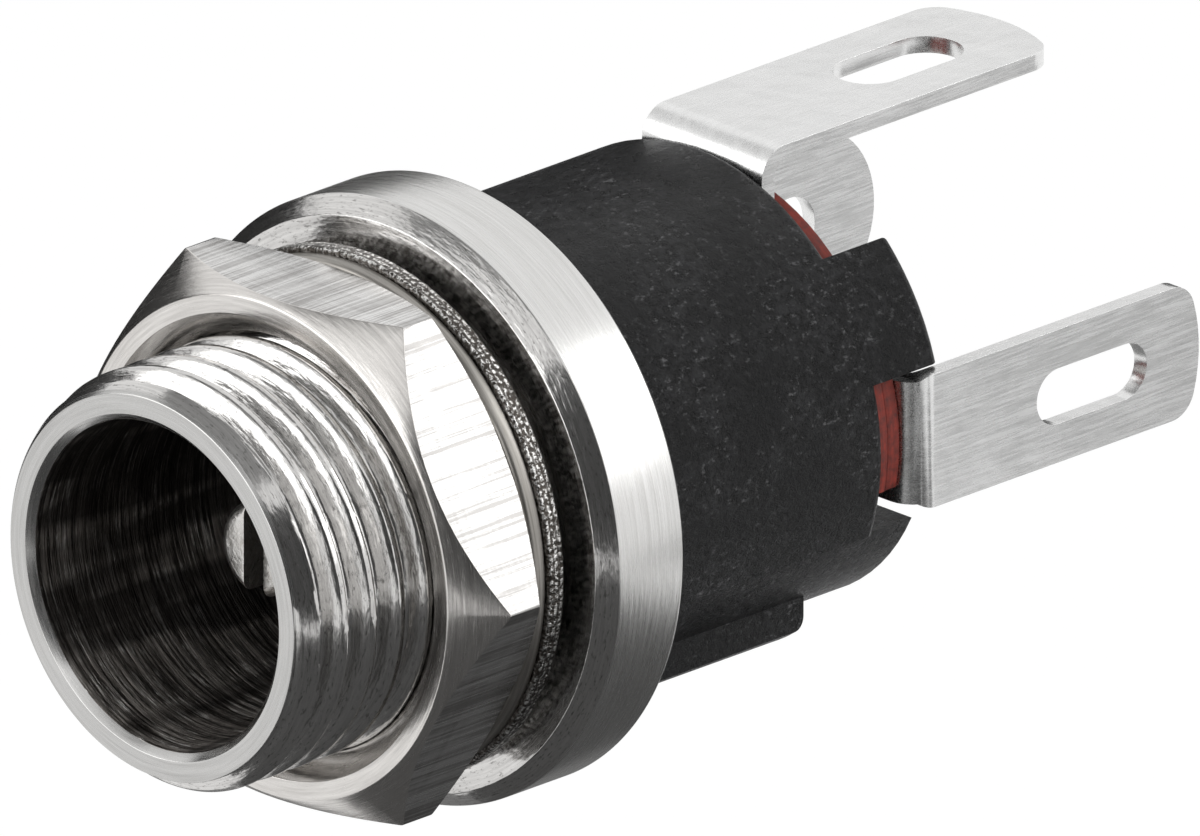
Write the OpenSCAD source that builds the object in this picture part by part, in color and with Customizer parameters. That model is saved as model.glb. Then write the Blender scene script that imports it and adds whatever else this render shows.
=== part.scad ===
// Panel-mount DC power jack for 5.5 x 2.5 mm barrel plugs, with break contact.
// The jack axis is Y and the plug enters from the -Y side. The origin is on the axis in the plane of the
// flange's front face, which seats against the rear of the panel. +Z is up, towards the sleeve lug.

/* [Bushing] */
// Outer diameter of the fine thread
thread_d = 11; // [10.7:0.1:11.4]
// Pitch of the fine thread
thread_pitch = 1; // [0.75:0.25:1]
// Depth of the fine thread
thread_depth = 0.5; // [0.4:0.05:0.55]
// Bore that the plug passes through
bore_d = 8.7; // [8.3:0.1:9]
// Diameter of the front lip, where the thread's lead-in chamfer starts
lip_d = 10.2; // [9.8:0.1:10.5]
// Length of the lead-in chamfer behind the lip
lip_chamfer_l = 0.65; // [0.4:0.05:0.9]
// Chamfer inside the mouth of the bore
bore_chamfer = 0.2; // [0.1:0.05:0.3]
// Threaded length, from the lip to the flange
barrel_l = 8.25; // [7.8:0.1:10]
// Diameter of the thread relief next to the flange
relief_groove_d = 10.1; // [9.9:0.1:10.3]
// Length of the thread relief
relief_groove_l = 0.8; // [0.5:0.1:1.2]
// Flange diameter
flange_d = 16; // [15.4:0.1:18]
// Flange thickness
flange_t = 2.85; // [2.6:0.05:3.4]
// Chamfer round the front of the flange
flange_chamfer = 0.45; // [0.2:0.05:0.6]
// Edge break round the rear of the flange
flange_edge = 0.15; // [0.05:0.05:0.2]
// Depth of the rear pocket that holds the housing
pocket_depth = 1.8; // [1.5:0.1:2.1]
// Thickness of the pocket wall that the crimped rim is rolled from
pocket_wall = 1.8; // [1.6:0.1:2]
// How far the crimped rim reaches inwards
crimp_reach = 0.25; // [0.15:0.05:0.35]
// Thickness of the crimped rim
crimp_t = 0.4; // [0.3:0.05:0.5]

/* [Panel hardware] */
// Space left between the lock washer and the flange
panel_gap = 0.5; // [0.3:0.1:1]
// Hex nut, across flats
nut_af = 13.5; // [13.3:0.1:14.5]
// Hex nut thickness
nut_t = 2.8; // [2.6:0.1:3]
// Diameter of the nut's flat front ring
nut_face_d = 13.2; // [12.9:0.1:13.3]
// Height of the front chamfer at the corners
nut_chamfer = 1.1; // [0.8:0.1:1.2]
// Height of the rear chamfer at the corners
nut_back_chamfer = 0.7; // [0.4:0.1:0.8]
// Depth of the countersinks in the nut
nut_countersink = 0.6; // [0.4:0.05:0.7]
// Flat washer diameter
flat_washer_d = 13.7; // [13.3:0.1:14]
// Flat washer thickness
flat_washer_t = 0.45; // [0.4:0.05:0.6]
// Lock washer diameter
lock_washer_d = 14; // [13.7:0.1:14.4]
// Lock washer thickness
lock_washer_t = 0.55; // [0.4:0.05:0.7]
// Radial width of the lock washer's plain rim
lock_rim_w = 0.75; // [0.6:0.05:0.9]
// Number of the lock washer's teeth
lock_teeth = 12; // [8:1:16]

/* [Housing] */
// Diameter of the moulded housing
body_d = 13.2; // [13:0.1:13.8]
// Diameter where the housing is relieved below the side gaps
relieved_d = 11.8; // [11.6:0.1:12.4]
// Depth below the axis where the relief starts
relief_z = 2.2; // [2:0.1:2.4]
// Length of the housing behind the flange
body_l = 8.4; // [7.8:0.1:10]
// Width of the full-diameter pad under the housing
pad_w = 7.7; // [7:0.1:8.4]
// How far the pad stops short of the housing's rear face
pad_short = 0.2; // [0.1:0.1:0.6]
// Height of the guard walls behind the housing's rear face
wall_h = 2.2; // [1.8:0.1:2.8]
// Thickness of the guard walls, measured inwards from the housing's surface
wall_t = 2.1; // [1.9:0.1:2.2]
// Height above the axis of the upper edges of the gaps at the sides, for the pin lug and the switch lug
side_gap_top = 1.9; // [1.9:0.05:2.1]
// Depth below the axis of their lower edges
side_gap_low = 2.6; // [2.4:0.1:3]
// Width of the gap at the top, for the sleeve lug
top_gap_w = 9; // [8.6:0.1:9.2]
// Width of the gap at the bottom
bottom_gap_w = 4.4; // [3:0.1:5]
// Edge radius of the moulding
mould_r = 0.3; // [0.15:0.05:0.35]
// Diameter of the chamber round the pin
chamber_d = 6.4; // [6.2:0.1:6.6]
// Depth of the chamber, from the housing's front face
chamber_depth = 4.7; // [4.4:0.1:5]

/* [Contacts] */
// Contact pin diameter
pin_d = 2.5; // [2.4:0.05:2.55]
// How far the pin's tip lies behind the lip
pin_recess = 3.6; // [3:0.1:4.2]
// Width of the slot that makes the pin springy
pin_slot_w = 0.7; // [0.5:0.05:0.8]
// Length of that slot
pin_slot_l = 4.5; // [3.5:0.1:5]
// Radius round the pin's tip
pin_tip_r = 0.3; // [0.2:0.05:0.35]
// Diameter of the pin's collar
collar_d = 4; // [3.6:0.1:4.4]
// Thickness of the pin's collar
collar_t = 0.8; // [0.6:0.1:1]
// Diameter of the pin's tail
tail_d = 1.6; // [1.5:0.05:1.7]
// Diameter of the peened end of the tail
rivet_d = 2.9; // [2.7:0.1:3.2]
// Height of the peened end of the tail
rivet_h = 0.5; // [0.4:0.05:0.6]
// Thickness of the stamped contacts
sheet_t = 0.45; // [0.35:0.05:0.5]
// Inside radius of their bends
bend_r = 0.35; // [0.25:0.05:0.4]
// Width of the spring strips
spring_w = 2.4; // [2.2:0.1:2.6]
// Distance from the axis to the spring strips
spring_z = 3.3; // [3.2:0.05:3.4]
// How far the sleeve spring is bowed towards the axis
spring_bow = 0.7; // [0.5:0.05:0.75]
// How far the sleeve spring reaches into the bushing
spring_reach = 3.4; // [2.6:0.1:4]
// Width of the switch spring's finger
finger_w = 2.5; // [2:0.1:2.8]
// Distance from the finger to the chamber's floor
finger_back = 1.3; // [1:0.1:1.6]

/* [Solder lugs] */
// How far the sleeve lug's end lies behind the flange's front face
sleeve_lug_end = 22; // [20:0.1:25]
// Height of the sleeve lug's outer face above the axis
sleeve_lug_z = 7; // [6.8:0.05:7.3]
// Width of the sleeve lug
sleeve_lug_w = 4.3; // [4:0.1:4.8]
// Width of the sleeve lug's wire slot
sleeve_slot_w = 1.9; // [1.4:0.1:2]
// How far the pin lug's end lies behind the flange's front face
pin_lug_end = 22.3; // [20:0.1:25]
// Distance from the axis to the outer faces of the pin lug and the switch lug
side_lug_x = 6.65; // [6.4:0.05:6.9]
// Width of the pin lug
pin_lug_w = 3.6; // [3.3:0.1:3.6]
// Width of the pin lug before its bend
pin_stem_w = 3.3; // [2.8:0.1:3.3]
// Diameter of the ring that the pin lug is riveted by
pin_ring_d = 4.6; // [4.2:0.1:5]
// Width of the pin lug's wire slot
pin_slot_hole_w = 1.5; // [1.2:0.1:1.7]
// Length of the wire slots
wire_slot_l = 3.9; // [3:0.1:4.2]
// Distance from the wire slots' centres to the lugs' ends
wire_slot_back = 3.8; // [3.2:0.1:4.4]
// Radius of the lugs' bowed ends
lug_end_r = 4.2; // [3.6:0.1:6]
// Radius of the lugs' corners
lug_corner_r = 0.8; // [0.4:0.1:0.9]
// How far the switch lug's end lies behind the flange's front face
switch_lug_end = 23.5; // [21:0.1:25]
// Diameter of the switch lug's round end
switch_end_d = 5.1; // [4.6:0.1:5.6]
// Diameter of the hole in it
switch_hole_d = 1.8; // [1.4:0.1:2]
// Distance from that hole's centre to the lug's end
switch_hole_back = 3; // [2.6:0.1:3.2]

/* [Insulators] */
// Thickness of each fibre insulator
fibre_t = 0.45; // [0.45:0.05:0.6]
// Diameter of the fibre insulators
fibre_d = 11.7; // [11:0.1:12]
// Distance from the housing's surface in to the insulators' ears in the side gaps
ear_inset = 0.4; // [0.2:0.05:0.6]
// Depth below the axis of the ears' lower edges
ear_low = 1.2; // [0.8:0.1:1.6]

/* [Hidden] */
$fn = 96;

slip = 0.02;     // running or press clearance between round parts
play = 0.1;      // clearance round a stamped part in its slot
washer_play = 0.15;
flex_room = 0.4; // room for the sleeve spring to lift
past = 1;        // how far a cutting tool runs past the face that it cuts
hex_deg = 60;
crest_share = 0.3; // share of the thread's pitch that is left at full diameter
bow_steps = 14;
bow_skew = 0.8;  // below 1, the bow's crest lies nearer to the spring's tip

// Stations along the axis, from front to rear
lip_y = -barrel_l;
lock_y = -panel_gap - lock_washer_t;
flat_y = lock_y - flat_washer_t;
nut_y = flat_y - nut_t;
pin_tip_y = lip_y + pin_recess;
pocket_y = flange_t - pocket_depth;
floor_y = pocket_y + chamber_depth;
rear_y = flange_t + body_l;
wall_end_y = rear_y + wall_h;
pad_end_y = rear_y - pad_short;
layer_t = max(fibre_t, sheet_t);
rear_insulator_y = rear_y + layer_t;
pin_plate_y = rear_insulator_y + layer_t;
rivet_y = pin_plate_y + sheet_t;

pocket_r = flange_d / 2 - pocket_wall;
wall_inner_r = body_d / 2 - wall_t;
ear_r = body_d / 2 - ear_inset;
nut_corner_r = nut_af / 2 / cos(hex_deg / 2);

// ---- shared construction -----------------------------------------------------------------------

// Turns a profile of [radius, y] points about the jack axis
module turned() { rotate([-90, 0, 0]) rotate_extrude() children(); }

// Extrudes an [x, z] outline along the axis from y0 to y1
module along(y0, y1) { translate([0, y1, 0]) rotate([90, 0, 0]) linear_extrude(y1 - y0) children(); }

// Extrudes a [y, z] outline across the axis, centred on x = 0
module across(w) {
    rotate([90, 0, 90]) translate([0, 0, -w / 2]) linear_extrude(w) children();
}

module rod(d, y0, y1) { along(y0, y1) circle(d = d); }

// Points of an arc about c in steps, from angle a0 to a1
function arc(c, r, a0, a1, steps = 6) =
    [for (i = [0:steps]) c + r * [cos(a0 + (a1 - a0) * i / steps), sin(a0 + (a1 - a0) * i / steps)]];

function unit(v) = v / norm(v);

// Left-hand normal of a path at point i, lengthened in a bend so that the strip keeps its thickness
function path_normal(p, i) =
    let (
        before = unit(p[max(i, 1)] - p[max(i, 1) - 1]),
        after = unit(p[min(i, len(p) - 2) + 1] - p[min(i, len(p) - 2)]),
        mid = unit(before + after),
        spread = mid * before
    ) [-mid.y, mid.x] / spread;

// A strip of sheet that follows a path along its middle
module strip(path, t) {
    left = [for (i = [0:len(path) - 1]) path[i] + path_normal(path, i) * t / 2];
    right = [for (i = [len(path) - 1:-1:0]) path[i] - path_normal(path, i) * t / 2];
    polygon(concat(left, right));
}

// Round-ended slot of length l along y
module slot(w, l) {
    square([w, l - w], center = true);
    for (s = [-1, 1]) translate([0, s * (l - w) / 2]) circle(d = w);
}

// ---- bushing and panel hardware ----------------------------------------------------------------

module bushing() {
    lip_r = lip_d / 2;
    thread_r = thread_d / 2;
    groove_r = relief_groove_d / 2;
    bore_r = bore_d / 2;
    flange_r = flange_d / 2;
    rim_r = pocket_r - crimp_reach;
    thread_y0 = lip_y + lip_chamfer_l;
    thread_y1 = -relief_groove_l - (thread_r - groove_r);
    color("silver") turned() polygon(concat(
        [[bore_r + bore_chamfer, lip_y], [lip_r, lip_y], [thread_r, thread_y0]],
        thread_grooves(thread_y0, thread_y1),
        [
            [thread_r, thread_y1], [groove_r, -relief_groove_l], [groove_r, 0],
            [flange_r - flange_chamfer, 0], [flange_r, flange_chamfer],
            [flange_r, flange_t - flange_edge], [flange_r - flange_edge, flange_t],
            [rim_r, flange_t], [rim_r, flange_t - crimp_t], [pocket_r, flange_t - crimp_t],
            [pocket_r, pocket_y], [bore_r, pocket_y], [bore_r, lip_y + bore_chamfer]
        ]
    ));
}

// Outline of the thread between y0 and y1 as a row of V grooves, one to each turn
function thread_grooves(y0, y1) =
    let (
        r = thread_d / 2,
        crest = thread_pitch * crest_share,
        groove = thread_pitch - crest
    ) [
        for (i = [0:floor((y1 - y0 - crest) / thread_pitch) - 1], k = [0:2])
            [r - thread_depth * k * (2 - k), y0 + crest + i * thread_pitch + groove * k / 2]
    ];

module hex_nut() {
    bore_r = thread_d / 2 + slip;
    tool_r = bore_r + nut_countersink + past;
    face_r = nut_face_d / 2;
    back_r = nut_af / 2;
    color("lightgray") translate([0, nut_y, 0]) difference() {
        intersection() {
            along(0, nut_t) circle(r = nut_corner_r, $fn = 6);
            turned() polygon([
                [0, 0], [face_r, 0], [nut_corner_r, nut_chamfer],
                [nut_corner_r, nut_t - nut_back_chamfer], [back_r, nut_t], [0, nut_t]
            ]);
        }
        turned() polygon([
            [0, -past], [tool_r, -past], [bore_r, nut_countersink],
            [bore_r, nut_t - nut_countersink], [tool_r, nut_t + past], [0, nut_t + past]
        ]);
    }
}

module flat_washer() {
    color("gainsboro") difference() {
        rod(flat_washer_d, flat_y, lock_y);
        rod(thread_d + 2 * washer_play, flat_y - past, lock_y + past);
    }
}

// Internal-tooth lock washer, pressed flat between nut and panel
module lock_washer() {
    rim_inner_r = lock_washer_d / 2 - lock_rim_w;
    tooth_r = thread_d / 2 + washer_play;
    tooth_w = PI * tooth_r / lock_teeth;
    color("darkgray") along(lock_y, -panel_gap) {
        difference() {
            circle(d = lock_washer_d);
            circle(r = rim_inner_r);
        }
        for (i = [0:lock_teeth - 1]) rotate(i * 360 / lock_teeth) difference() {
            translate([-tooth_w / 2, 0]) square([tooth_w, rim_inner_r + lock_rim_w / 2]);
            circle(r = tooth_r);
        }
    }
}

// ---- housing -----------------------------------------------------------------------------------

// Section of the housing: full diameter down to the relief, and less below it
module body_section() {
    circle(d = relieved_d);
    intersection() {
        circle(d = body_d);
        translate([-body_d, -relief_z]) square([2 * body_d, body_d]);
    }
}

// Section of the full-diameter pad that is left under the housing
module pad_section() {
    intersection() {
        circle(d = body_d);
        translate([-pad_w / 2, -body_d]) square([pad_w, body_d - relief_z]);
    }
}

// Section of the guard walls: a ring with gaps for the three lugs and one at the bottom
module wall_section() {
    difference() {
        body_section();
        circle(r = wall_inner_r);
        translate([-body_d, -side_gap_low]) square([2 * body_d, side_gap_low + side_gap_top]);
        translate([-top_gap_w / 2, 0]) square([top_gap_w, body_d]);
        translate([-bottom_gap_w / 2, -body_d]) square([bottom_gap_w, body_d]);
    }
}

// Solid of revolution that rounds the rear edge of everything of radius r ending at y1
module round_rear(r, y0, y1) {
    turned() {
        translate([0, y0]) square([r, y1 - y0 - mould_r]);
        translate([0, y0]) square([r - mould_r, y1 - y0]);
        translate([r - mould_r, y1 - mould_r]) circle(r = mould_r);
    }
}

// Slot through the housing for the spring strip above the axis, wider at the rear for the strip's bend, and
// the groove in the chamber's wall that leaves the strip room to flex
module strip_slot() {
    slot_w = spring_w + 2 * play;
    translate([-slot_w / 2, rear_y - bend_r - play, spring_z - play])
        cube([slot_w, bend_r + play + past, sheet_t + bend_r + 2 * play]);
    translate([-slot_w / 2, floor_y - past, spring_z - play])
        cube([slot_w, rear_y + 2 * past - floor_y, sheet_t + 2 * play]);
    translate([-slot_w / 2, pocket_y - past, 0])
        cube([slot_w, floor_y - pocket_y + past, spring_z + sheet_t + flex_room]);
}

// Room beside the chamber for the switch spring's finger, up to the sleeve spring's groove
module switch_pocket() {
    reach = spring_z + sheet_t + play;
    translate([-reach, pocket_y - past, 0]) cube([reach, floor_y - pocket_y + past, reach]);
}

module housing() {
    neck_r = pocket_r - crimp_reach - slip;
    color([0.16, 0.16, 0.17]) difference() {
        union() {
            rod(2 * (pocket_r - slip), pocket_y, flange_t - crimp_t - slip);
            rod(2 * neck_r, pocket_y, flange_t + mould_r);
            intersection() {
                along(flange_t, rear_y) body_section();
                round_rear(body_d / 2, flange_t, rear_y);
            }
            intersection() {
                along(flange_t, pad_end_y) pad_section();
                round_rear(body_d / 2, flange_t, pad_end_y);
            }
            intersection() {
                along(rear_y - past, wall_end_y) wall_section();
                round_rear(body_d / 2, flange_t, wall_end_y);
            }
        }
        rod(chamber_d, pocket_y - past, floor_y);
        rod(pin_d + 2 * slip, floor_y - past, rear_y + past);
        strip_slot();
        rotate([0, -90, 0]) strip_slot();
        switch_pocket();
    }
}

// ---- insulators --------------------------------------------------------------------------------

// Outline of the fibre insulators: a disc between the guard walls, with ears in the top and side gaps
module insulator_outline() {
    top_ear_w = top_gap_w - 2 * play;
    circle(r = wall_inner_r - play);
    intersection() {
        circle(d = fibre_d);
        translate([-top_ear_w / 2, 0]) square([top_ear_w, fibre_d]);
    }
    intersection() {
        circle(r = ear_r);
        translate([-body_d, -ear_low]) square([2 * body_d, ear_low + side_gap_top - play]);
    }
}

module front_insulator() {
    color("firebrick") along(rear_y, rear_y + fibre_t) difference() {
        insulator_outline();
        circle(d = tail_d + 2 * play);
        plate_notch(sleeve_lug_w);
        rotate(90) strip_hole();
    }
}

// Opening for a strip and the bend at its end, above the axis
module strip_hole() {
    slot_w = spring_w + 2 * play;
    translate([-slot_w / 2, spring_z - play]) square([slot_w, sheet_t + bend_r + 2 * play]);
}

module rear_insulator() {
    color("brown") along(rear_insulator_y, rear_insulator_y + fibre_t) difference() {
        insulator_outline();
        circle(d = tail_d + 2 * play);
        rotate(90) plate_notch(switch_stem_w());
    }
}

// Notch above the axis where a contact's plate lies in an insulator's plane

module plate_notch(w) {
    translate([-w / 2 - play, spring_z - play]) square([w + 2 * play, body_d]);
}

function switch_stem_w() = 2 * side_gap_top - 3 * play;

// ---- contacts ----------------------------------------------------------------------------------

module centre_pin() {
    pin_r = pin_d / 2;
    color("goldenrod") difference() {
        turned() {
            translate([0, pin_tip_y]) square([pin_r - pin_tip_r, rear_y - pin_tip_y]);
            translate([0, pin_tip_y + pin_tip_r]) square([pin_r, rear_y - pin_tip_y - pin_tip_r]);
            translate([pin_r - pin_tip_r, pin_tip_y + pin_tip_r]) circle(r = pin_tip_r);
            translate([0, floor_y - collar_t]) square([collar_d / 2, collar_t]);
            translate([0, floor_y]) square([tail_d / 2, rivet_y + rivet_h / 2 - floor_y]);
            rivet_profile();
        }
        translate([-pin_slot_w / 2, pin_tip_y - past, -pin_d])
            cube([pin_slot_w, pin_slot_l + past, 2 * pin_d]);
    }
}

// Domed head that the end of the tail is peened into
module rivet_profile() {
    a = rivet_d / 2;
    dome_r = (a * a + rivet_h * rivet_h) / (2 * rivet_h);
    intersection() {
        translate([0, rivet_y + rivet_h - dome_r]) circle(r = dome_r);
        translate([0, rivet_y]) square([a, rivet_h]);
    }
}

// Tab of a solder lug in plan, [x, y], with round corners and a bowed end, and the stem in front of it
module lug_plan(w, stem_w, y0, y1) {
    bow_y = y1 - lug_end_r;
    corner_reach = lug_end_r - lug_corner_r;
    corner_x = w / 2 - lug_corner_r;
    corner_y = bow_y + sqrt(corner_reach * corner_reach - corner_x * corner_x);
    translate([-stem_w / 2, y0 - w]) square([stem_w, w + lug_corner_r]);
    translate([-corner_x, y0]) square([2 * corner_x, corner_y - y0]);
    translate([-w / 2, y0 + lug_corner_r]) square([w, corner_y - y0 - lug_corner_r]);
    for (x = [-corner_x, corner_x], y = [y0 + lug_corner_r, corner_y])
        translate([x, y]) circle(r = lug_corner_r);
    intersection() {
        translate([0, bow_y]) circle(r = lug_end_r);
        polygon([[0, bow_y], [-2 * corner_x, 2 * corner_y - bow_y], [2 * corner_x, 2 * corner_y - bow_y]]);
    }
}

// Mid-line of a lug that rises along a plate whose front face is at y and turns rearwards at height z
function lug_path(y, z, z0, y1) =
    let (m = sheet_t / 2, r = bend_r + m)
    concat([[y + m, z0]], arc([y + m + r, z - m - r], r, 180, 90), [[y1, z - m]]);

// Mid-line of the bend that turns a spring strip outwards into a plate whose front face is at y
function strip_end_path(y) =
    let (m = sheet_t / 2, r = bend_r + m) arc([y + m - r, spring_z + m + r], r, -90, 0);

module pin_lug() {
    ring_mid_r = (pin_ring_d + tail_d) / 4;
    color("whitesmoke") {
        rotate([0, 90, 0]) intersection() {
            across(pin_lug_w) strip(lug_path(pin_plate_y, side_lug_x, ring_mid_r, pin_lug_end), sheet_t);
            lug_mask(pin_lug_w, pin_stem_w, pin_plate_y, pin_lug_end, pin_slot_hole_w);
        }
        along(pin_plate_y, rivet_y) difference() {
            circle(d = pin_ring_d);
            circle(d = tail_d + 2 * slip);
        }
    }
}

// Prism that trims a lug's strip to its plan, with the wire slot left out of it
module lug_mask(w, stem_w, plate_y, end_y, slot_w) {
    translate([0, 0, -body_d]) linear_extrude(3 * body_d) difference() {
        lug_plan(w, stem_w, plate_y, end_y);
        translate([0, end_y - wire_slot_back]) slot(slot_w, wire_slot_l);
    }
}

// The sleeve contact is one stamping: solder lug, plate and the spring that presses on the plug's sleeve
module sleeve_contact() {
    plate_z = spring_z + sheet_t + bend_r;
    color("gainsboro") {
        intersection() {
            across(sleeve_lug_w) strip(lug_path(rear_y, sleeve_lug_z, plate_z, sleeve_lug_end), sheet_t);
            lug_mask(sleeve_lug_w, sleeve_lug_w, rear_y, sleeve_lug_end, sleeve_slot_w);
        }
        across(spring_w) strip(concat(spring_path(), strip_end_path(rear_y)), sheet_t);
    }
}

// Mid-line of the sleeve spring, from its lifted tip through the bow that meets the plug to the flat part
function spring_path() =
    let (z = spring_z + sheet_t / 2)
    [for (i = [0:bow_steps]) let (u = i / bow_steps)
        [pocket_y - spring_reach * (1 - u), z - spring_bow * sin(180 * pow(u, bow_skew))]];

// The switch contact is one stamping too: round-ended lug, plate, strip and the finger under the spring
module switch_contact() {
    plate_z = spring_z + sheet_t + bend_r;
    end_y = switch_lug_end - switch_end_d / 2;
    finger_y = floor_y - finger_back;
    color("gainsboro") {
        rotate([0, -90, 0]) {
            intersection() {
                across(switch_end_d)
                    strip(lug_path(rear_insulator_y, side_lug_x, plate_z, switch_lug_end), sheet_t);
                translate([0, 0, -body_d]) linear_extrude(3 * body_d) difference() {
                    union() {
                        translate([0, end_y]) circle(d = switch_end_d);
                        translate([-switch_stem_w() / 2, 0]) square([switch_stem_w(), end_y]);
                    }
                    translate([0, switch_lug_end - switch_hole_back]) circle(d = switch_hole_d);
                }
            }
            across(spring_w) strip(concat([[finger_y - finger_w, spring_z + sheet_t / 2]],
                strip_end_path(rear_insulator_y)), sheet_t);
        }
        along(finger_y - finger_w, finger_y) strip(finger_path(), sheet_t);
    }
}

// Mid-line of the finger in the [x, z] plane: up the side of the chamber and in under the sleeve spring
function finger_path() =
    let (m = sheet_t / 2, r = bend_r + m, x = -spring_z - m, z = spring_z - m)
    concat([[x, 0]], arc([x + r, z - r], r, 180, 90), [[-spring_w / 4, z]]);

bushing();
hex_nut();
flat_washer();
lock_washer();
housing();
front_insulator();
rear_insulator();
centre_pin();
pin_lug();
sleeve_contact();
switch_contact();
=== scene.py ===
"""Looks of a panel-mount DC barrel jack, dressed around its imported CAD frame.

Sizes of the part are in mm, unless a name ends in _m. The stage is in metres.
"""
import math

import bmesh
import bpy
import numpy as np
from mathutils import Matrix, Vector

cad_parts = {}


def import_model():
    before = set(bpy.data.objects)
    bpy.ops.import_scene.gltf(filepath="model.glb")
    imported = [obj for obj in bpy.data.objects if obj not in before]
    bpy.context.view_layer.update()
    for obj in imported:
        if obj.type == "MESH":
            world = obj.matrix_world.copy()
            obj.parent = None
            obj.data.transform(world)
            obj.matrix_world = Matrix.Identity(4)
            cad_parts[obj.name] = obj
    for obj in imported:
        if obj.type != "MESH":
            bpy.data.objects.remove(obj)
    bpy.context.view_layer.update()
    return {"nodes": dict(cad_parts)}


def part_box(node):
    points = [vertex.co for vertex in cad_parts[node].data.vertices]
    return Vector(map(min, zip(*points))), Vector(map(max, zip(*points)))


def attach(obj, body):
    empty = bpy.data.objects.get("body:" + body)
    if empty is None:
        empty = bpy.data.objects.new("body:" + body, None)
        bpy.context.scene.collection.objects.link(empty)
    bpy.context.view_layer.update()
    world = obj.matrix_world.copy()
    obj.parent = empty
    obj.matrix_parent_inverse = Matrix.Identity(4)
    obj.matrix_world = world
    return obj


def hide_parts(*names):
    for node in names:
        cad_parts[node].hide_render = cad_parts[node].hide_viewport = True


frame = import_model()
MM = 0.001


# ---- places taken from the frame ---------------------------------------------------------------

def box_mm(node):
    """Lowest and highest corner of a CAD node, in mm."""
    low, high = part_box(node)
    return np.array(low) / MM, np.array(high) / MM


bushing_low, bushing_high = box_mm("bushing")
nut_low, nut_high = box_mm("hex_nut")
washer_low, washer_high = box_mm("flat_washer")
lock_low, lock_high = box_mm("lock_washer")
housing_low, _ = box_mm("housing")

LIP_Y = bushing_low[1]
FLANGE_T = bushing_high[1]
FLANGE_R = bushing_high[0]
POCKET_Y = housing_low[1]

# Bushing
THREAD_R = 5.5
PITCH = 1.0
THREAD_DEPTH = 0.5
CREST_SHARE = 0.16
LIP_R = 5.1
LEAD_IN = 0.65
MOUTH_CHAMFER = 0.2
BORE_R = 4.35
RELIEF_R = 5.05
RELIEF_L = 0.8
FLANGE_CHAMFER = 0.45
FLANGE_EDGE = 0.2
POCKET_R = 6.2
CRIMP_R = 5.95
CRIMP_T = 0.4

# Hex nut and washers
NUT_HALF_AF = nut_high[2]
NUT_CORNER_R = NUT_HALF_AF / math.cos(math.radians(30))
NUT_FACE_R = 6.6
NUT_CHAMFER = 1.1
NUT_BACK_CHAMFER = 0.7
NUT_SINK = 0.6
NUT_CORNER_ROUND = 0.12
WASHER_BORE_R = THREAD_R + 0.15
LOCK_RIM_R = 6.25
LOCK_ROW = 0.17  # spacing of the rows of grain round the lock washer's edge
LOCK_ROUGH_BAND = 0.15
LOCK_DENT = 0.03

# Roundings of the edges of pieces that are copied from the CAD
HOUSING_EDGE = 0.18
DISC_EDGE = 0.05
SHEET_EDGE = 0.17


# ---- mesh helpers ------------------------------------------------------------------------------

def piece(name, verts_mm, faces, materials, face_slots=None, smooth_deg=40):
    """A mesh object made of points in mm, smooth except along edges sharper than smooth_deg."""
    mesh = bpy.data.meshes.new(name)
    mesh.from_pydata((np.asarray(verts_mm, float) * MM).tolist(), [], faces)
    for material in materials:
        mesh.materials.append(material)
    if face_slots is not None:
        mesh.polygons.foreach_set("material_index", np.asarray(face_slots, np.int32))
    obj = bpy.data.objects.new(name, mesh)
    bpy.context.scene.collection.objects.link(obj)
    return shaded(obj, smooth_deg)


def shaded(obj, smooth_deg=40):
    """Smooth shading, except along edges sharper than smooth_deg."""
    mesh = obj.data
    mesh.polygons.foreach_set("use_smooth", [True] * len(mesh.polygons))
    mesh.set_sharp_from_angle(angle=math.radians(smooth_deg))
    mesh.update()
    return obj


def weighted_normals(obj):
    """Normals that follow the larger faces."""
    modifier = obj.modifiers.new("normals", "WEIGHTED_NORMAL")
    modifier.mode = "FACE_AREA"
    modifier.weight = 100
    modifier.keep_sharp = True
    return obj


def apply_modifiers(obj):
    depsgraph = bpy.context.evaluated_depsgraph_get()
    mesh = bpy.data.meshes.new_from_object(obj.evaluated_get(depsgraph), depsgraph=depsgraph)
    obj.modifiers.clear()
    old = obj.data
    obj.data = mesh
    bpy.data.meshes.remove(old)
    return obj


def rounded(points, radii, steps=4):
    """A closed [r, y] outline with each corner rounded by its radius, 0 for a sharp one."""
    points = [np.array(p, float) for p in points]
    out = []
    for i, (p, radius) in enumerate(zip(points, radii)):
        a, b = points[i - 1] - p, points[(i + 1) % len(points)] - p
        a, b = a / np.linalg.norm(a), b / np.linalg.norm(b)
        half = 0.5 * math.acos(max(-1, min(1, float(a @ b))))
        if radius == 0:
            out.append(p)
            continue
        if half > 1.54:
            out += [p] * (steps + 1)
            continue
        middle = (a + b) / np.linalg.norm(a + b)
        centre = p + middle * radius / math.sin(half)
        start, end = p + a * radius / math.tan(half), p + b * radius / math.tan(half)
        turn = math.pi - 2 * half
        for k in range(steps + 1):
            t = k / steps
            w0, w1 = math.sin((1 - t) * turn) / math.sin(turn), math.sin(t * turn) / math.sin(turn)
            out.append(centre + w0 * (start - centre) + w1 * (end - centre))
    return out


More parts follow.
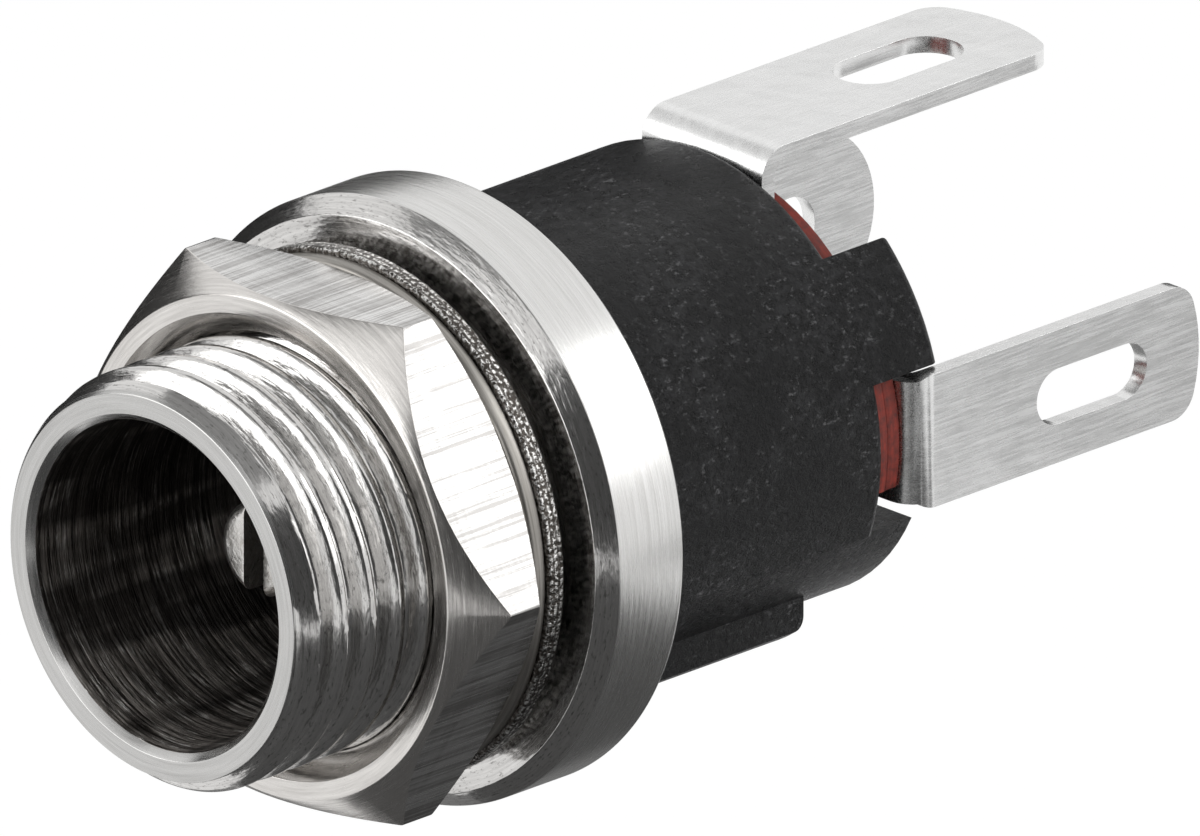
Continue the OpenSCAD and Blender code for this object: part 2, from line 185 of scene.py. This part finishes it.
def turned_piece(name, angles, outlines, materials, slot_of=None, smooth_deg=40):
    """A closed ring of [r, y] outlines, one at each angle from +Z towards +X about the jack's axis."""
    outlines = np.array(outlines, float)
    if outlines.ndim == 2:
        outlines = np.repeat(outlines[None], len(angles), 0)
    count, size = outlines.shape[:2]
    s, c = np.sin(angles)[:, None], np.cos(angles)[:, None]
    verts = np.stack([outlines[:, :, 0] * s, outlines[:, :, 1], outlines[:, :, 0] * c], -1).reshape(-1, 3)
    i, j = np.meshgrid(np.arange(count), np.arange(size), indexing="ij")
    i2, j2 = (i + 1) % count, (j + 1) % size
    quads = np.stack([i * size + j, i2 * size + j, i2 * size + j2, i * size + j2], -1).reshape(-1, 4)
    slots = None if slot_of is None else [slot_of(k) for k in np.tile(np.arange(size), count)]
    return piece(name, verts, quads.tolist(), materials, slots, smooth_deg)


def even_angles(count):
    return np.arange(count) * 2 * math.pi / count


# ---- materials ---------------------------------------------------------------------------------

class Nodes:
    """Short ways to add and join shader nodes in one material."""

    def __init__(self, name):
        self.material = bpy.data.materials.new(name)
        self.material.use_nodes = True
        self.tree = self.material.node_tree
        self.bsdf = self.tree.nodes["Principled BSDF"]
        place = self.add("ShaderNodeTexCoord").outputs["Object"]
        self.place = self.vector("SCALE", place, scale=1 / MM)

    def add(self, kind, **settings):
        node = self.tree.nodes.new(kind)
        for key, value in settings.items():
            setattr(node, key, value)
        return node

    def join(self, socket, value):
        if isinstance(value, bpy.types.NodeSocket):
            self.tree.links.new(value, socket)
        else:
            socket.default_value = value

    def math(self, operation, a, b=0.0, c=0.0):
        node = self.add("ShaderNodeMath", operation=operation)
        for socket, value in zip(node.inputs, (a, b, c)):
            self.join(socket, value)
        return node.outputs[0]

    def vector(self, operation, a, b=(0, 0, 0), scale=1.0):
        node = self.add("ShaderNodeVectorMath", operation=operation)
        self.join(node.inputs[0], a)
        self.join(node.inputs[1], b)
        if operation == "SCALE":
            node.inputs["Scale"].default_value = scale
        return node.outputs["Vector"]

    def stretched(self, stretch):
        return self.vector("MULTIPLY", self.place, stretch)

    def along_turning(self, slow, fast):
        """A place that changes slowly round the axis and fast across it, for turning marks."""
        split = self.add("ShaderNodeSeparateXYZ")
        self.join(split.inputs[0], self.place)
        x, y, z = split.outputs
        radius = self.math("SQRT", self.math("ADD", self.math("MULTIPLY", x, x), self.math("MULTIPLY", z, z)))
        across = self.math("MULTIPLY_ADD", y, 1.37, radius)
        joined = self.add("ShaderNodeCombineXYZ")
        self.join(joined.inputs[0], self.math("MULTIPLY", x, slow))
        self.join(joined.inputs[1], self.math("MULTIPLY", across, fast))
        self.join(joined.inputs[2], self.math("MULTIPLY", z, slow))
        return joined.outputs[0]

    def noise(self, place, scale=1.0, detail=3.0, roughness=0.5):
        node = self.add("ShaderNodeTexNoise")
        self.join(node.inputs["Vector"], place)
        node.inputs["Scale"].default_value = scale
        node.inputs["Detail"].default_value = detail
        node.inputs["Roughness"].default_value = roughness
        return node.outputs["Fac"]

    def spread(self, value, low, high, to_low, to_high):
        node = self.add("ShaderNodeMapRange")
        for socket, number in zip(node.inputs, (value, low, high, to_low, to_high)):
            self.join(socket, number)
        return node.outputs[0]

    def mix(self, share, a, b):
        node = self.add("ShaderNodeMix", data_type="RGBA")
        self.join(node.inputs["Factor"], share)
        self.join(node.inputs["A"], (*a, 1) if isinstance(a, tuple) else a)
        self.join(node.inputs["B"], (*b, 1) if isinstance(b, tuple) else b)
        return node.outputs["Result"]

    def bump(self, height, distance, strength=1.0, under=None):
        """A bump whose height runs from 0 to 1 over a distance in mm."""
        node = self.add("ShaderNodeBump")
        self.join(node.inputs["Height"], height)
        node.inputs["Distance"].default_value = distance * MM
        node.inputs["Strength"].default_value = strength
        if under is not None:
            self.join(node.inputs["Normal"], under)
        return node.outputs["Normal"]

    def finish(self, color, roughness, normal=None, **constants):
        self.join(self.bsdf.inputs["Base Color"], (*color, 1) if isinstance(color, tuple) else color)
        self.join(self.bsdf.inputs["Roughness"], roughness)
        if normal is not None:
            self.join(self.bsdf.inputs["Normal"], normal)
        for name, value in constants.items():
            self.bsdf.inputs[name.replace("_", " ")].default_value = value
        return self.material


def turned_metal(name, light, dark, rough, groove=0.004, slow=0.5, fast=9.0, spots=0.0, chatter=2.0):
    """Plated metal with fine marks round the axis, and dark specks where spots isn't 0."""
    n = Nodes(name)
    marks = n.noise(n.along_turning(slow, fast), 1, 4, 0.65)
    fine = n.noise(n.along_turning(slow * 2.5, fast * 4), 1, 2, 0.5)
    wave = n.noise(n.along_turning(slow * 3, fast * 0.35), 1, 2, 0.5)
    color = n.mix(n.spread(marks, 0.3, 0.72, 0, 1), dark, light)
    if spots:
        specks = n.noise(n.along_turning(slow * 9, fast * 1.3), 1, 3, 0.7)
        color = n.mix(n.spread(specks, 0.57, 0.66, 0, spots), color, (0.08, 0.075, 0.07))
    roughness = n.spread(fine, 0.3, 0.7, rough - 0.05, rough + 0.08)
    normal = n.bump(wave, groove * chatter, 0.8)
    normal = n.bump(marks, groove, 0.8, normal)
    normal = n.bump(fine, groove * 0.3, 0.8, normal)
    return n.finish(color, roughness, normal, Metallic=1.0)


def bored_metal():
    """Inside of the bushing with coarse boring marks: dark tone and bands of painted shade, streaks of
    painted highlight.
    """
    n = Nodes("bore_painted_light")
    marks = n.noise(n.along_turning(0.35, 4.5), 1, 5, 0.75)
    fine = n.noise(n.along_turning(0.8, 9), 1, 4, 0.7)
    breaks = n.noise(n.stretched((0.9, 0.6, 0.9)), 1, 3, 0.6)
    painted_highlight_streak = n.math("MULTIPLY", n.spread(fine, 0.54, 0.62, 0, 1), n.spread(breaks, 0.45, 0.58, 0.05, 1))
    # The boring marks are real; the near-black end of their colour is painted shade in the deep bore.
    color = n.mix(n.spread(marks, 0.42, 0.6, 0, 1), (0.07, 0.062, 0.056), (0.46, 0.425, 0.395))
    # Near-white streaks: painted highlights where the marks would catch the light.
    color = n.mix(painted_highlight_streak, color, (1.0, 0.98, 0.95))
    # Dark bands round the bore: painted shade.
    painted_shade_bands = n.noise(n.stretched((0.6, 0.07, 0.6)), 1, 2, 0.5)
    color = n.mix(n.spread(painted_shade_bands, 0.47, 0.56, 0, 0.8), color, (0.03, 0.027, 0.025))
    normal = n.bump(marks, 0.06, 1.0)
    normal = n.bump(fine, 0.02, 1.0, normal)
    return n.finish(color, n.spread(marks, 0.3, 0.7, 0.38, 0.6), normal, Metallic=1.0)


def ground_metal(name, light, dark, rough, groove=0.004, fast=12.0, slow=0.15):
    """Plated metal with machining lines along the jack's axis, crossed by fainter ones."""
    n = Nodes(name)
    lines = n.noise(n.stretched((fast * 0.5, slow, fast * 0.5)), 1, 5, 0.75)
    marks = n.noise(n.stretched((fast, slow, fast)), 1, 4, 0.6)
    crossing = n.noise(n.stretched((slow, fast * 0.4, slow)), 1, 3, 0.6)
    along = n.math("MULTIPLY_ADD", lines, 0.7, n.math("MULTIPLY", marks, 0.3))
    both = n.math("MULTIPLY_ADD", crossing, 0.12, along)
    color = n.mix(n.spread(both, 0.48, 0.62, 0, 1), dark, light)
    roughness = n.spread(marks, 0.3, 0.7, rough - 0.05, rough + 0.08)
    return n.finish(color, roughness, n.bump(both, groove, 0.9), Metallic=1.0)


def grainy_metal(name, light, dark, rough):
    """Rough stamped edge. Its sparkle is painted: near-white grain specks are painted glints, near-black ones
    painted shade.
    """
    n = Nodes(name)
    grain = n.noise(n.stretched((11, 9, 11)), 1, 2, 0.6)
    split = n.add("ShaderNodeSeparateXYZ")
    n.join(split.inputs[0], n.place)
    rows = n.math("SINE", n.math("MULTIPLY", split.outputs[1], 2 * math.pi / LOCK_ROW))
    # Near-white grain specks are painted glints and near-black ones painted shade.
    color = n.mix(n.spread(grain, 0.46, 0.6, 0, 1), dark, light)
    color = n.mix(n.spread(rows, -0.6, 0.3, 0.85, 0), color, dark)
    return n.finish(color, rough, n.bump(grain, 0.045, 1.0), Metallic=1.0)


def stamped_metal(name, light, dark, rough):
    """Tinned sheet with faint rolling marks."""
    n = Nodes(name)
    rolling = n.noise(n.stretched((16, 0.7, 16)), 1, 4, 0.6)
    cloud = n.noise(n.place, 0.8, 2)
    color = n.mix(n.spread(rolling, 0.35, 0.65, 0, 1), dark, light)
    color = n.mix(n.spread(cloud, 0.35, 0.7, 0, 0.3), color, dark)
    normal = n.bump(cloud, 0.03, 0.8)
    roughness = n.spread(rolling, 0.3, 0.7, rough - 0.04, rough + 0.05)
    return n.finish(color, roughness, n.bump(rolling, 0.002, 0.7, normal), Metallic=1.0)


def moulded_black_painted_glints():
    """Glass-filled black plastic with a coarse grain; its small pale flecks are painted glints of light."""
    n = Nodes("moulded_black_painted_glints")
    grain = n.noise(n.stretched((3.6, 2.6, 3.6)), 1, 6, 0.8)
    flecks = n.noise(n.stretched((6, 4, 6)), 1, 4, 0.75)
    patch = n.noise(n.place, 0.5, 2)
    flow = n.noise(n.stretched((2.2, 0.25, 2.2)), 1, 3)
    color = n.mix(n.spread(grain, 0.45, 0.6, 0, 1), (0.001, 0.001, 0.0012), (0.032, 0.032, 0.034))
    # Small pale flecks: painted glints of light on the grain.
    color = n.mix(n.spread(flecks, 0.57, 0.68, 0, 0.9), color, (0.2, 0.2, 0.205))
    color = n.mix(n.spread(patch, 0.4, 0.6, 0, 0.8), color, (0.003, 0.003, 0.0035))
    roughness = n.spread(grain, 0.3, 0.7, 0.24, 0.36)
    normal = n.bump(flow, 0.03, 0.5)
    normal = n.bump(grain, 0.13, 1.0, normal)
    return n.finish(color, roughness, normal, Specular_IOR_Level=0.2)


def red_fibre():
    """Vulcanized fibre: flecked red, in thin layers along the jack's axis."""
    n = Nodes("red_fibre")
    layers = n.noise(n.stretched((0.8, 14, 0.8)), 1, 3, 0.6)
    flecks = n.noise(n.place, 4.5, 4, 0.65)
    color = n.mix(n.spread(flecks, 0.3, 0.7, 0, 1), (0.12, 0.016, 0.011), (0.42, 0.055, 0.035))
    color = n.mix(n.spread(layers, 0.35, 0.7, 0, 0.4), color, (0.06, 0.01, 0.007))
    normal = n.bump(n.math("ADD", layers, flecks), 0.02, 0.6)
    return n.finish(color, n.spread(flecks, 0.3, 0.7, 0.5, 0.72), normal)


NICKEL = turned_metal("nickel_turned", (0.74, 0.73, 0.715), (0.52, 0.51, 0.50), 0.15, 0.003, 0.5, 9, 0.6, 7)
LIP = turned_metal("lip_turned", (0.60, 0.595, 0.585), (0.46, 0.455, 0.445), 0.24, 0.0025, 0.4, 12)
BORE = bored_metal()
BRUSHED = turned_metal("nickel_brushed", (0.76, 0.755, 0.745), (0.60, 0.595, 0.58), 0.25, 0.004, 0.35, 14)
NUT_TURNED = turned_metal("nut_turned", (0.76, 0.74, 0.715), (0.56, 0.54, 0.52), 0.2, 0.003)
NUT_GROUND = ground_metal("nut_ground", (0.74, 0.735, 0.725), (0.36, 0.35, 0.34), 0.22, 0.006)
# The flat washer's dark colours are painted shade: it sits in the shade between the nut and the flange.
WASHER_METAL = turned_metal("washer_painted_shade", (0.46, 0.44, 0.41), (0.2, 0.19, 0.175), 0.36, 0.002, 0.3, 7)
LOCK_METAL = grainy_metal("lock_grain_painted_glints", (0.92, 0.91, 0.89), (0.07, 0.062, 0.055), 0.3)
TINNED = stamped_metal("tinned_sheet", (0.86, 0.86, 0.855), (0.75, 0.75, 0.745), 0.26)
PIN_METAL = turned_metal("pin_turned", (0.80, 0.79, 0.77), (0.5, 0.48, 0.45), 0.3, 0.01, 2, 6)
BLACK = moulded_black_painted_glints()
FIBRE = red_fibre()


# ---- pieces made here --------------------------------------------------------------------------

def thread_radius(angle, y):
    """Radius of the right-hand thread, cut back by the lead-in chamfer at the lip."""
    phase = (y - LIP_Y) / PITCH - angle / (2 * math.pi)
    away = np.abs((phase + 0.3) % 1 - 0.5) * 2
    flank = np.clip((away - CREST_SHARE) / (0.86 - CREST_SHARE), 0, 1)
    flank = flank * flank * (3 - 2 * flank) * 0.55 + flank * 0.45
    lead_in = LIP_R + (y - LIP_Y) * (THREAD_R - LIP_R) / LEAD_IN
    run_out = THREAD_R - (THREAD_R - RELIEF_R) * np.clip((y + RELIEF_L + THREAD_R - RELIEF_R) / 0.4, 0, 1)
    return np.minimum(np.minimum(THREAD_R - THREAD_DEPTH * flank, lead_in), run_out)


def bushing():
    fixed = [
        (BORE_R + MOUTH_CHAMFER, LIP_Y), (LIP_R, LIP_Y), (RELIEF_R, -RELIEF_L), (RELIEF_R, 0),
        (FLANGE_R - FLANGE_CHAMFER, 0), (FLANGE_R, FLANGE_CHAMFER), (FLANGE_R, FLANGE_T - FLANGE_EDGE),
        (FLANGE_R - FLANGE_EDGE, FLANGE_T), (CRIMP_R, FLANGE_T), (CRIMP_R, FLANGE_T - CRIMP_T),
        (POCKET_R, FLANGE_T - CRIMP_T), (POCKET_R, POCKET_Y), (BORE_R, POCKET_Y),
        (BORE_R, LIP_Y + MOUTH_CHAMFER),
    ]
    radii = [0.03, 0.05, 0, 0.1, 0.06, 0.08, 0.06, 0.06, 0.25, 0, 0, 0, 0.05, 0.05]
    outline = rounded(fixed, radii)
    first = next(i for i, p in enumerate(outline) if p[0] > LIP_R - 0.2 and p[1] > LIP_Y + 0.04)
    head, tail = outline[:first], outline[first + 1:]
    stations = np.arange(LIP_Y + 0.09, -RELIEF_L, 0.04)
    outlines = []
    angles = even_angles(288)
    for angle in angles:
        thread = np.stack([thread_radius(angle, stations), stations], -1)
        outlines.append(np.concatenate([head, thread, tail]))

    def slot_of(j):
        r, y = outlines[0][j]
        if r > FLANGE_R - 0.02:
            return 1
        if r < BORE_R + 0.02 and y > LIP_Y + MOUTH_CHAMFER - 0.01:
            return 2
        return 3 if r < LIP_R and y < LIP_Y + MOUTH_CHAMFER else 0
    return turned_piece("bushing_turned", angles, outlines, [NICKEL, BRUSHED, BORE, LIP], slot_of)


def hexagon_radius(angle):
    """Distance from the axis to the nut's side at an angle from +Z, with slightly rounded corners."""
    from_corner = (angle + math.radians(60)) % math.radians(60) - math.radians(30)
    centre = (NUT_HALF_AF - NUT_CORNER_ROUND) / math.cos(math.radians(30))
    reach = centre + NUT_CORNER_ROUND * math.cos(math.radians(30))
    if abs(from_corner) < math.atan2(NUT_CORNER_ROUND / 2, reach):
        chord = NUT_CORNER_ROUND ** 2 - (centre * math.sin(from_corner)) ** 2
        return centre * math.cos(from_corner) + math.sqrt(chord)
    return NUT_HALF_AF / math.cos(math.radians(30) - abs(from_corner))


def nut_angles():
    """Angles all round the nut, closer together at its corners."""
    half = math.radians(30)
    share = np.linspace(-1, 1, 41)[:-1]
    return np.concatenate([
        half + k * 2 * half + half * np.sign(share) * np.abs(share) ** 2.2 for k in range(6)])


def hex_nut():
    y0, y1 = nut_low[1], nut_high[1]
    bore = THREAD_R + 0.02
    front_slope = NUT_CHAMFER / (NUT_CORNER_R - NUT_FACE_R)
    back_slope = NUT_BACK_CHAMFER / (NUT_CORNER_R - NUT_HALF_AF)
    outlines = []
    angles = nut_angles()
    for angle in angles:
        side = hexagon_radius(angle)
        outline = [
            (bore, y0 + NUT_SINK), (bore + NUT_SINK, y0), (NUT_FACE_R, y0),
            (side, y0 + (side - NUT_FACE_R) * front_slope), (side, y1 - (side - NUT_HALF_AF) * back_slope),
            (NUT_HALF_AF, y1) if side > NUT_HALF_AF + 0.08 else (side - 0.08, y1),
            (bore + NUT_SINK, y1), (bore, y1 - NUT_SINK),
        ]
        outlines.append(rounded(outline, [0, 0.05, 0.1, 0.05, 0.03, 0.03, 0, 0], 3))
    first = 1 + 4 + 4  # points of the outline before the side: the sharp corner and two rounded ones

    def slot_of(j):
        return 1 if first + 3 <= j <= first + 4 else 0
    return turned_piece("hex_nut_chamfered", angles, outlines, [NUT_TURNED, NUT_GROUND], slot_of, 30)


def flat_washer():
    outline = rounded(
        [(WASHER_BORE_R, washer_low[1]), (washer_high[0], washer_low[1]),
         (washer_high[0], washer_high[1]), (WASHER_BORE_R, washer_high[1])],
        [0.08, 0.16, 0.05, 0.05])
    return turned_piece("flat_washer_ring", even_angles(240), outline, [WASHER_METAL])


def lock_washer():
    """The rim with its rough outer edge. The inner teeth are in the solid only."""
    y0, y1, outer = lock_low[1], lock_high[1], lock_high[0]
    count = 900
    rng = np.random.default_rng(7)
    corners = [(LOCK_RIM_R, y0), (outer, y0), (outer, y1), (LOCK_RIM_R, y1)]
    outline = np.array(rounded(corners, [0.03, 0.1, 0.1, 0.03]))
    rows = outline[:, 0] > outer - LOCK_ROUGH_BAND
    dents = rng.random((count, len(outline)))
    dents = (dents + np.roll(dents, 1, 0)) / 2
    outlines = np.repeat(outline[None], count, 0)
    outlines[:, rows, 0] -= LOCK_DENT * dents[:, rows]
    return turned_piece("lock_washer_rim", even_angles(count), outlines, [LOCK_METAL], None, 60)


def dressed(node, name, material, edge, steps=3, min_deg=35):
    """A copy of a CAD node's mesh with its edges rounded, wherever they turn by more than min_deg."""
    mesh = frame["nodes"][node].data.copy()
    mesh.name = name
    mesh.materials.clear()
    mesh.materials.append(material)
    bm = bmesh.new()
    bm.from_mesh(mesh)
    bmesh.ops.remove_doubles(bm, verts=bm.verts, dist=0.0005 * MM)
    bmesh.ops.dissolve_limit(bm, angle_limit=math.radians(0.6), verts=bm.verts, edges=bm.edges)
    bm.to_mesh(mesh)
    bm.free()
    obj = bpy.data.objects.new(name, mesh)
    bpy.context.scene.collection.objects.link(obj)
    bevel = obj.modifiers.new("edges", "BEVEL")
    bevel.width = edge * MM
    bevel.segments = steps
    bevel.limit_method = "ANGLE"
    bevel.angle_limit = math.radians(min_deg)
    bevel.miter_outer = "MITER_ARC"
    apply_modifiers(obj)
    shaded(obj, 40)
    weighted_normals(obj)
    return apply_modifiers(obj)


# ---- stage -------------------------------------------------------------------------------------

ROOM_LEVEL = 0.48  # strength of the world for diffuse light
FLOOR_GLOW = 1.08
FLOOR_GLOW_SHARE = 0.85
FLOOR_RADIUS = 1.5
FLOOR_Z = -0.03
FLOOR_RIM = 0.15
LAMP_DISTANCE = 0.3

CAMERA_AZIMUTH, CAMERA_ELEVATION = 45.3, 21.4
CAMERA_WIDTH = 0.03025
CAMERA_PLACE = (0.00543, 0.002165, 0.2)  # right, up and back, in the camera's own directions

# Name, centre, edge across, edge up and grey of each card that only reflections see
CARDS = [
    ("card_camera", (0.095, -0.07, 0.035), (0.075, 0.11, 0), (0, 0, 0.128), 0.12),
    ("card_top", (-0.03, -0.07, 0.3), (0.42, 0, 0), (0, 0.28, 0), 0.5),
    ("card_left", (-0.095, 0.0425, 0.0045), (0.03, 0.245, 0), (0, 0, 0.067), 0.05),
    ("card_below", (0.037, -0.015, -0.029), (0.09, 0, 0), (0, 0.11, 0), 0.14),
    ("card_behind", (-0.019, 0.02, -0.029), (0.022, 0, 0), (0, 0.04, 0), 0.35),
    ("card_right", (0.06, 0.075, -0.029), (0.05, 0, 0), (0, 0.03, 0), 0.5),
]

# Name, direction from the part, size and strength of each soft box
LAMPS = [
    ("back_box", (0.66, 0.655, 0.33), (0.22, 0.12), 1.3),
    ("back_strip", (0.5, 0.655, 0.56), (0.05, 0.05), 6.2),
    ("front_box", (-0.3, -0.85, 0.36), (0.4, 0.18), 1.5),
]


def stage_mesh(name, points_m, faces, material):
    mesh = bpy.data.meshes.new(name)
    mesh.from_pydata(points_m, [], faces)
    mesh.materials.append(material)
    obj = bpy.data.objects.new(name, mesh)
    bpy.context.scene.collection.objects.link(obj)
    return obj


def floor_white():
    """White to the camera and in reflections, and still shaded by the part's own shadow."""
    n = Nodes("floor_white")
    n.finish((0.9, 0.9, 0.9), 0.9, None, Specular_IOR_Level=0.0)
    paths = n.add("ShaderNodeLightPath").outputs
    reflected = n.math("MAXIMUM", paths["Is Glossy Ray"], paths["Is Transmission Ray"])
    seen = n.math("MAXIMUM", paths["Is Camera Ray"], reflected)
    glow = n.add("ShaderNodeEmission")
    glow.inputs["Color"].default_value = (1, 1, 1, 1)
    glow.inputs["Strength"].default_value = FLOOR_GLOW
    mix = n.add("ShaderNodeMixShader")
    n.join(mix.inputs["Fac"], n.math("MULTIPLY", seen, FLOOR_GLOW_SHARE))
    n.join(mix.inputs[1], n.bsdf.outputs[0])
    n.join(mix.inputs[2], glow.outputs[0])
    n.join(n.tree.nodes["Material Output"].inputs["Surface"], mix.outputs[0])
    return n.material


def floor():
    """A round floor with a low upturned rim, so that no view looks past its edge."""
    count = 96
    around = [(FLOOR_RADIUS * math.cos(a), FLOOR_RADIUS * math.sin(a)) for a in even_angles(count)]
    points = [(x, y, z) for z in (FLOOR_Z, FLOOR_Z + FLOOR_RIM) for x, y in around]
    rim = [(i, (i + 1) % count, count + (i + 1) % count, count + i) for i in range(count)]
    faces = [tuple(range(count))] + rim
    stage_mesh("floor", points, faces, floor_white())


def card(name, centre, across, up, grey):
    """A grey card that gives the metal something dark to reflect. Only glossy rays see it."""
    c, a, u = Vector(centre), Vector(across) / 2, Vector(up) / 2
    n = Nodes(name + "_grey")
    obj = stage_mesh(name, [c - a - u, c + a - u, c + a + u, c - a + u], [(0, 1, 2, 3)],
                     n.finish((grey, grey, grey), 0.9, None, Specular_IOR_Level=0.0))
    obj.visible_camera = obj.visible_diffuse = obj.visible_shadow = obj.visible_transmission = False
    return obj


def area_light(name, direction, size, strength):
    """A soft box that faces the part."""
    lamp = bpy.data.lights.new(name, "AREA")
    lamp.shape = "RECTANGLE"
    lamp.size, lamp.size_y = size
    lamp.energy = strength * size[0] * size[1] * math.pi
    obj = bpy.data.objects.new(name, lamp)
    bpy.context.scene.collection.objects.link(obj)
    place = Vector(direction).normalized()
    obj.location = place * LAMP_DISTANCE
    obj.rotation_euler = place.to_track_quat("Z", "Y").to_euler()
    return obj


def world():
    """White where the camera, a reflection or a clear part sees it, and a plain soft grey light otherwise."""
    scene = bpy.context.scene
    scene.world = bpy.data.worlds.new("studio")
    scene.world.use_nodes = True
    tree = scene.world.node_tree
    paths = tree.nodes.new("ShaderNodeLightPath").outputs
    seen = paths["Is Camera Ray"]
    for other in ("Is Glossy Ray", "Is Transmission Ray"):
        both = tree.nodes.new("ShaderNodeMath")
        both.operation = "MAXIMUM"
        tree.links.new(seen, both.inputs[0])
        tree.links.new(paths[other], both.inputs[1])
        seen = both.outputs[0]
    level = tree.nodes.new("ShaderNodeMapRange")
    level.inputs["To Min"].default_value = ROOM_LEVEL
    level.inputs["To Max"].default_value = 1.0
    tree.links.new(seen, level.inputs["Value"])
    tree.links.new(level.outputs[0], tree.nodes["Background"].inputs["Strength"])
    tree.nodes["Background"].inputs["Color"].default_value = (1, 1, 1, 1)
    scene.world.cycles.sampling_method = "NONE"


def camera():
    """A long lens from the front right and above, as the part is usually shown."""
    azimuth, elevation = math.radians(CAMERA_AZIMUTH), math.radians(CAMERA_ELEVATION)
    level = math.cos(elevation)
    back = Vector((math.sin(azimuth) * level, -math.cos(azimuth) * level, math.sin(elevation)))
    rotation = back.to_track_quat("Z", "Y")
    data = bpy.data.cameras.new("camera")
    data.type = "ORTHO"
    data.ortho_scale = CAMERA_WIDTH
    data.clip_start = 0.001
    obj = bpy.data.objects.new("camera", data)
    bpy.context.scene.collection.objects.link(obj)
    obj.rotation_euler = rotation.to_euler()
    obj.location = rotation @ Vector(CAMERA_PLACE)
    bpy.context.scene.camera = obj


bpy.context.scene.view_settings.view_transform = "Standard"
camera()
world()
floor()
for settings in CARDS:
    card(*settings)
for settings in LAMPS:
    area_light(*settings)

PIECES = [
    (bushing(), "bushing", "plated_brass"),
    (hex_nut(), "hex_nut", "nut_metal"),
    (flat_washer(), "flat_washer", "washer_metal"),
    (lock_washer(), "lock_washer", "lock_metal"),
    (dressed("housing", "housing_moulded", BLACK, HOUSING_EDGE, 4), "housing", "black_moulding"),
    (dressed("front_insulator", "front_insulator_disc", FIBRE, DISC_EDGE, 2),
     "front_insulator", "red_fibre"),
    (dressed("rear_insulator", "rear_insulator_disc", FIBRE, DISC_EDGE, 2),
     "rear_insulator", "red_fibre"),
    (dressed("centre_pin", "centre_pin_slotted", PIN_METAL, DISC_EDGE, 2),
     "centre_pin", "pin_metal"),
    (dressed("pin_lug", "pin_lug_stamped", TINNED, SHEET_EDGE, 4),
     "pin_lug", "tinned_contact"),
    (dressed("sleeve_contact", "sleeve_contact_stamped", TINNED, SHEET_EDGE, 4),
     "sleeve_contact", "tinned_contact"),
    (dressed("switch_contact", "switch_contact_stamped", TINNED, SHEET_EDGE, 4),
     "switch_contact", "tinned_contact"),
]
for obj, node, slot in PIECES:
    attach(obj, "root")
    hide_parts(node)
